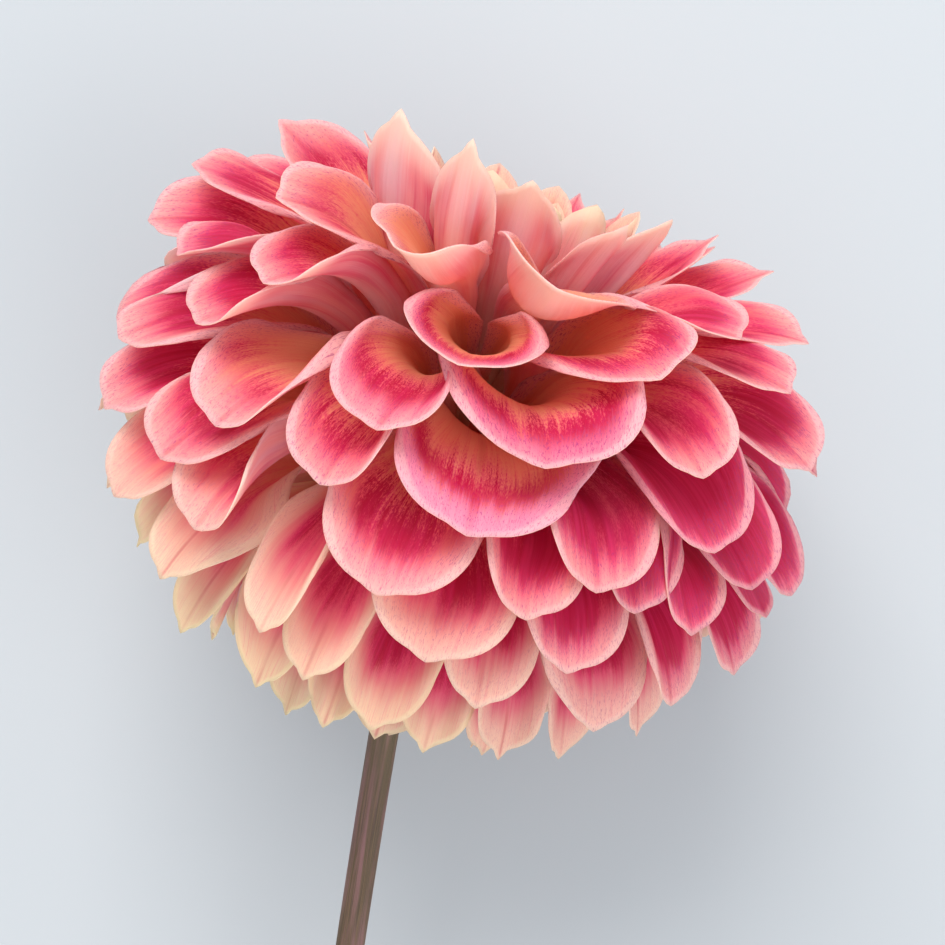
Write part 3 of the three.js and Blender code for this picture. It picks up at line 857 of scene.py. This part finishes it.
def crimson_patch(petal, margin):
    """How strongly the outer half of the face is flushed, less so in its pale margin."""
    patch = petal.reach.step(*PATCH_START_ALONG) * (1 - margin * (0.55 + 0.45 * petal.pale))
    patch = patch * petal.blush * (0.94 * (petal.blotch + 1.2 * petal.stripes))
    patch = patch * (0.82 + 0.18 * petal.grains.step(*GRIT_NOISE))
    return 0.95 * patch.step(0.12, 1.0)


def petal_face(shader, petal):
    """The inner side: an orange throat painted light to stand in for its glow, coral flesh, a crimson
    patch and a pale margin.
    """
    throat = 1 - petal.reach.step(*THROAT_END_ALONG)
    margin = petal.soft_edge.step(0.84 - 0.52 * petal.pale, 1.04 - 0.08 * petal.pale)
    patch = crimson_patch(petal, margin)
    cold = (3.0 * (-1.0 * petal.warm).at_least(0.0)).at_most(1.0)
    pale_flesh = shader.mix(petal.cream, PALE_FLESH, CREAM)
    pale_rim = shader.mix(petal.cream, RIM, CREAM)
    crimson = shader.mix((patch * (0.5 + petal.lines)).step(0.6, 1.1), BLUSH, DEEP)

    face = shader.mix(throat, shader.mix(cold, FLESH, PINK), shader.mix(cold, THROAT, DEEP))
    face = shader.mix(0.25 * petal.fine.step(*FLECK_NOISE), face, BLUSH)
    face = shader.mix(margin * (0.55 + 0.42 * petal.pale), face, pale_flesh)
    face = shader.mix(patch, face, crimson)

    # A lilac lip with a darker seam inside it, on the petals that have one.
    seam = petal.soft_edge.step(*SEAM_START) * (1 - petal.soft_edge.step(*SEAM_END)) * petal.lilac
    lip = petal.soft_edge.step(*LIP_START) * petal.lilac
    face = shader.mix(seam * (0.15 + petal.blotch), face, DEEP)
    face = shader.mix(0.75 * lip, face, LILAC)

    # Dark and light veins in the margin, painted shade in the midrib's crease, the rim and its
    # speckles.
    face = shader.mix(petal.fine.step(*VEIN_NOISE) * (0.30 * margin), face, BLUSH)
    face = shader.mix((1 - petal.fine).step(*VEIN_NOISE) * (0.30 * margin), face, pale_rim)
    # Painted shade: a deep crimson line down the midrib's crease, broken by blotches, from about
    # halfway out.
    crease = 1 - (petal.wide + 0.15 * petal.hair).step(*CREASE_SHADE_END)
    crease = crease * petal.along.step(*CREASE_SHADE_START_ALONG)
    face = shader.mix(crease * (0.4 * petal.blotch.step(*CREASE_SHADE_NOISE)), face, DEEP)
    rim = petal.crisp_edge.step(*RIM_START)
    face = shader.mix(rim * (0.5 + 0.4 * petal.pale), face, pale_rim)
    specks = petal.grains.step(*SPECK_NOISE) * petal.edge.step(*SPECK_START)
    return shader.mix(specks * (0.60 - 0.55 * petal.cream), face, SPECKLE)


def petal_back(shader, petal):
    """The outer side: a painted highlight along its midrib and in broad streaks, flushed beside them.
    """
    flush = (petal.blotch + 0.5 * petal.stripes).step(*FLUSH_NOISE)
    flush = petal.along.step(*FLUSH_START_ALONG) * flush
    flush = ((flush + 0.45 * petal.lines.step(*FLUSH_LINE_NOISE)) * petal.blush).at_most(1.0)
    back = shader.mix(0.85 * flush, BACK, BACK_VEIN)
    # Painted highlight: near white along the midrib and in broad streaks, setting in from about a
    # third of the way out.
    midrib = 1 - (petal.wide + 0.5 * petal.streak).step(*BACK_SHEEN_MIDRIB_END)
    painted_sheen = midrib.at_least(0.7 * petal.stripes.step(*PAINTED_SHEEN_NOISE))
    body = (petal.along + petal.streak).step(*PAINTED_SHEEN_START_ALONG) * (0.70 + 0.30 * petal.pale)
    back = shader.mix(painted_sheen * body, back, BACK_PALE_AND_SHEEN)
    back = shader.mix(0.25 * petal.fine.step(*BACK_FLECK_NOISE), back, BACK_PALE_AND_SHEEN)
    rim = (petal.edge + 0.3 * petal.hair).step(*BACK_RIM_START)
    back = shader.mix(0.6 * rim, back, BACK_PALE_AND_SHEEN)
    tips = (petal.along + 0.3 * petal.streak - 0.1 * petal.wide).step(*TIP_START_ALONG)
    back = shader.mix(tips * (0.6 + 0.4 * petal.cream), back, CREAM)
    claw = 1 - petal.along.step(*CLAW_END_ALONG)
    return shader.mix(0.8 * claw, back, THROAT)


def petal_material():
    shader = Shader("petal", roughness=0.5, specular=0.2)
    petal = petal_patterns(shader)
    tint = shader.mix(petal.inner, petal_back(shader, petal), petal_face(shader, petal))
    shader.paint(tint)
    normal = shader.bump(0.7 * petal.lines + 0.3 * petal.fine, strength=0.4, distance=0.0006)
    shader.let_light_through(PETAL_TRANSLUCENCE, tint, normal)
    return shader.material


# ---------- the green parts' and the stem's materials ----------

LEAF_GREENS = ("4d6a26", "93a860")
RECEPTACLE_GREENS = ("5d7030", "a9b070")
LEAF_LINES = dict(times=(18, 2.0), detail=3.0, roughness=0.6)
LEAF_LINE_NOISE = (0.5, 0.75)

STEM_DARK = colour("3c2a18")
STEM_LIGHT = colour("6c5233")
STEM_RED = colour("86595a")
STEM_GREEN = colour("5f5f2c")
STEM_PIT = colour("3a2a20")
STEM_FIBRES = dict(times=(26, 9), detail=5.0, roughness=0.65)
STEM_PATCHES = dict(times=(2, 5), detail=4.0, roughness=0.6, salt=3.0)
STEM_PITS = dict(times=(40, 60), detail=2.0, roughness=0.5, salt=5.0)
FIBRE_NOISE = (0.3, 0.75)
PATCH_NOISE = (0.42, 0.68)
PIT_NOISE = (0.62, 0.72)
GREEN_END_DOWN = (0.02, 0.30)       # down the stem, as a share of STEM_COLOUR_LENGTH


def green_material(name, dark, light):
    shader = Shader(name, roughness=0.55, specular=0.4)
    patches = shader.noise(shader.position(), scale=220.0, detail=4.0, roughness=0.6)
    lines = shader.pattern(shader.attribute("across"), shader.attribute("along"), **LEAF_LINES)
    tint = shader.mix(patches, colour(dark), colour(light))
    shader.paint(shader.mix(0.5 * lines.step(*LEAF_LINE_NOISE), tint, colour(light)))
    shader.bump(lines + 0.5 * patches, strength=0.4, distance=0.0005)
    return shader.material


def stem_material():
    shader = Shader("stem", roughness=0.48, specular=0.45)
    around, down = shader.attribute("around"), shader.attribute("down")
    fibres = shader.pattern(around, down, **STEM_FIBRES)
    patches = shader.pattern(around, down, **STEM_PATCHES)
    pits = shader.pattern(around, down, **STEM_PITS)
    green = 1 - down.step(*GREEN_END_DOWN)
    tint = shader.mix(fibres.step(*FIBRE_NOISE), STEM_DARK, STEM_LIGHT)
    tint = shader.mix(0.75 * patches.step(*PATCH_NOISE), tint, STEM_RED)
    tint = shader.mix(0.55 * green, tint, STEM_GREEN)
    shader.paint(shader.mix(0.5 * pits.step(*PIT_NOISE), tint, STEM_PIT))
    shader.bump(fibres + 0.4 * pits, strength=0.5, distance=0.0004)
    return shader.material


# ---------- the pieces ----------


def petal_facts(petal):
    """How strongly a petal is flushed, creamed and warmed, by where it grows."""
    polar = petal["polar"]
    to_right = math.sin(math.radians(petal["azimuth"]))
    right = max(to_right, 0)
    left = max(-to_right, 0)
    young = 1 - ramp(polar, *BEYOND_YOUNG)
    middle = ramp(polar, *MIDDLE_ZONE)
    low = ramp(polar, *LOW_ZONE)
    old = ramp(polar, *OLD_ZONE)
    cream = 0.75 * low * (1 - 0.65 * right) + 0.25 * old + 0.35 * left * low + 0.30 * young
    pale = 0.22 + 0.16 * left + 0.60 * low - 0.30 * right * middle * (1 - low) + 0.2 * young
    blush = 0.95 + 0.60 * right * middle + 0.15 * left * (1 - low) - 0.08 * low - 0.35 * young
    warm = 0.04 - 0.24 * right * middle - 0.26 * low * (1 - 0.3 * left)
    return dict(
        cream=np.clip(cream + rng.normal(0, SPREAD["cream"]), 0, 1),
        pale=np.clip(pale + rng.normal(0, SPREAD["pale"]), 0, 1),
        blush=np.clip(
            blush + petal.get("flush", 0) + rng.normal(0, SPREAD["blush"]), LEAST_BLUSH, MOST_BLUSH),
        warm=petal.get("warm", 0) + warm + rng.normal(0, SPREAD["warm"]),
        lilac=petal.get("lilac", USUAL_LILAC),
        salt=rng.uniform(0, MOST_SALT),
    )


def petal_style(petal):
    """A petal's width, roll and twist. Those neither read nor modelled as solids vary."""
    loose = 0 if "pixel" in petal or "node" in petal else 1

    def usual(key, table):
        return petal.get(key, read(petal["polar"], PETAL_POLAR, table))

    def chance(key):
        return loose * rng.normal(0, SPREAD[key])

    return dict(
        width=usual("width", PETAL_WIDTH) * (1 + chance("width")),
        tube=usual("tube", PETAL_TUBE),
        roundness=usual("roundness", PETAL_ROUNDNESS),
        sharp=usual("sharp", PETAL_POINT),
        cup=usual("cup", PETAL_CUP) * (1 + chance("cup")),
        left=petal.get("left", 0) + max(chance("side"), 0),
        right=petal.get("right", 0) + max(chance("side"), 0),
        twist=petal.get("twist", 0) + chance("twist"),
        wave=rng.normal(0, SPREAD["wave"]),
    )


def shape_petal(petal):
    """Adds a petal's colours, its surface and its turn in settling to what is known of it."""
    polar = petal["polar"]
    petal["facts"] = petal_facts(petal)
    inset = petal.get("inset", 0 if "pixel" in petal else SPIRAL_INSET)
    tip = heading(polar) * (read(polar, OUTLINE_POLAR, OUTLINE_RADIUS) - inset)
    end = read(polar, PETAL_POLAR, TIP_LEAN) + petal.get("end", 0)
    base = read(polar, PETAL_POLAR, BASE_POLAR) + petal.get("base", 0)
    surface = blade(petal["azimuth"], base, tip, end, **petal_style(petal))
    petal["points"], petal["along"], petal["across"] = surface
    petal["order"] = polar - petal.get("ahead", 0)


def build_petals(material):
    petals = all_petals()
    mark_solids(petals)
    for petal in petals:
        shape_petal(petal)
    settle(petals)
    for number, petal in enumerate(petals, start=1):
        name = f"floret_{number:03d}"
        grids = [petal["points"], petal["along"], petal["across"]]
        if "pixel" in petal:
            grids = [refined(grid) for grid in grids]
        nodes = [petal["node"]] if "node" in petal else []
        add_piece(name, sheet_mesh(name, [(*grids, petal["facts"])]), material, "petal", *nodes)


def build_heart(material):
    """The innermost petals, still curled over the middle of the flower."""
    blades = []
    for n in range(HEART_PETALS):
        share = math.sqrt((n + 0.6) / HEART_PETALS)
        polar = HEART_POLAR * share
        radius = read(polar, OUTLINE_POLAR, OUTLINE_RADIUS) - HEART_DROP * (1 - share)
        surface = blade(
            azimuth=HEART_START - GOLDEN_ANGLE * n,
            base_polar=read(polar, PETAL_POLAR, BASE_POLAR),
            tip=heading(polar) * radius,
            end=polar - HEART_CURL * (1 - 0.5 * share),
            width=between(HEART_WIDTH, share),
            cup=HEART_ROLL,
            roundness=HEART_ROUNDNESS,
            sharp=HEART_POINT,
            rows=HEART_ROWS,
            columns=HEART_COLUMNS,
        )
        salt = rng.uniform(0, MOST_SALT)
        facts = dict(HEART_FACTS, cream=between(HEART_CREAM, share), salt=salt)
        blades.append((*surface, facts))
    add_piece("heart_florets", sheet_mesh("heart_florets", blades), material, "heart", "heart")


def build_bracts(material):
    for number in range(1, BRACT_COUNT + 1):
        azimuth = BRACT_START + 360 / BRACT_COUNT * (number - 1)
        surface = blade(azimuth, BRACT_BASE_POLAR, BRACT_TIP, BRACT_END, BRACT_WIDTH, cup=BRACT_ROLL)
        name = f"bract_leaf_{number}"
        mesh = sheet_mesh(name, [(*surface, {})], BRACT_THICKNESS)
        add_piece(name, mesh, material, "bract", f"bract_{number}")


def stem_surface():
    """Rings of points down the stem, their distances from the top and their angles."""
    top = RECEPTACLE - AXIS * (RECEPTACLE_RADIUS + SEAT_GAP)
    knee = top - AXIS * NECK_LENGTH
    cut = knee - STEM_DIRECTION * STEM_LENGTH
    t = (np.linspace(0, 1, STEM_ROWS) ** STEM_CROWDING)[:, None]
    centre = (1 - t) ** 2 * top + 2 * (1 - t) * t * knee + t ** 2 * cut
    tangent = normalised(2 * (1 - t) * (knee - top) + 2 * t * (cut - knee))
    across = normalised(np.cross([0, 0, 1], tangent))
    above = np.cross(tangent, across)
    distance = np.linalg.norm(centre - top, axis=1, keepdims=True)
    radius = STEM_RADIUS + (NECK_RADIUS - STEM_RADIUS) * np.exp(-distance / NECK_FLARE)
    angle = np.linspace(0, 2 * math.pi, STEM_SIDES, endpoint=False)[None, :]
    ridges = 1 - RIDGE_DEPTH * (1 - np.cos(STEM_RIDGES * angle)) * ramp(distance, 0, RIDGE_FADE)
    r = (radius * ridges)[..., None]
    points = (centre[:, None] + across[:, None] * r * np.cos(angle)[..., None]
              + above[:, None] * r * np.sin(angle)[..., None])
    return points, distance, angle


def build_stem(material):
    points, distance, angle = stem_surface()
    index = np.arange(STEM_ROWS * STEM_SIDES).reshape(STEM_ROWS, STEM_SIDES)
    turned = np.roll(index, -1, axis=1)
    faces = np.stack([index[:-1], turned[:-1], turned[1:], index[1:]], -1).reshape(-1, 4).tolist()
    ends = [index[0][::-1].tolist(), index[-1].tolist()]
    mesh = bpy.data.meshes.new("stem_skin")
    mesh.from_pydata((points.reshape(-1, 3) * MM).tolist(), [], faces + ends)
    add_attribute(mesh, "around", (np.cos(angle) + 0 * distance).ravel())
    add_attribute(mesh, "down", (distance / STEM_COLOUR_LENGTH + 0 * angle).ravel())
    mesh.polygons.foreach_set("use_smooth", [True] * len(faces) + [False] * len(ends))
    add_piece("stem_skin", mesh, material, "stem", "stem")


def paint_receptacle():
    """The receptacle shows as its solid, in a material of its own."""
    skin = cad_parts["receptacle"].data
    skin.materials.clear()
    skin.materials.append(green_material("receptacle", *RECEPTACLE_GREENS))


# ---------- floor, light and camera ----------


def build_floor():
    shader = Shader("floor", roughness=0.85, specular=0.2)
    shader.paint(colour(FLOOR_COLOUR))
    angle = np.linspace(0, 2 * math.pi, FLOOR_SIDES, endpoint=False)
    rim = FLOOR_RADIUS * np.stack([np.cos(angle), np.sin(angle), 0 * angle], -1)
    mesh = bpy.data.meshes.new("floor")
    mesh.from_pydata(rim.tolist(), [], [tuple(range(FLOOR_SIDES))])
    mesh.materials.append(shader.material)
    new_object("floor", mesh)


def add_light(name, place, size, power):
    """A square soft light at place, turned to the bloom."""
    light = bpy.data.lights.new(name, "AREA")
    light.size = size
    light.energy = power
    lamp = new_object(name, light)
    lamp.location = place
    towards = Vector(HEAD * MM - np.array(place))
    lamp.rotation_euler = towards.to_track_quat("-Z", "Y").to_euler()


def build_lights():
    add_light("key", **KEY_LIGHT)
    add_light("fill", **FILL_LIGHT)
    world = bpy.data.worlds.new("studio")
    world.use_nodes = True
    background = world.node_tree.nodes["Background"]
    background.inputs["Color"].default_value = SKY_COLOUR
    background.inputs["Strength"].default_value = SKY_STRENGTH
    bpy.context.scene.world = world
    bpy.context.scene.view_settings.view_transform = "Standard"


def build_camera():
    """The photograph's camera, placed by how the bloom shows in it."""
    turn = HEAD_AXES.T @ view_axes()
    matrix = np.eye(4)
    matrix[:3, :3] = turn
    matrix[:3, 3] = (HEAD - turn @ (VIEW_DISTANCE * pixel_vector(HEAD_PIXEL))) * MM
    camera = bpy.data.cameras.new("camera")
    camera.sensor_width = FILM_WIDTH
    camera.lens = FOCAL_PIXELS / IMAGE_WIDTH * FILM_WIDTH
    camera.clip_start = NEAR_CLIP
    holder = new_object("camera", camera)
    holder.matrix_world = Matrix(matrix.tolist())
    bpy.context.scene.camera = holder


build_camera()
petal_look = petal_material()
build_petals(petal_look)
build_heart(petal_look)
build_bracts(green_material("leaf", *LEAF_GREENS))
build_stem(stem_material())
paint_receptacle()
build_floor()
build_lights()
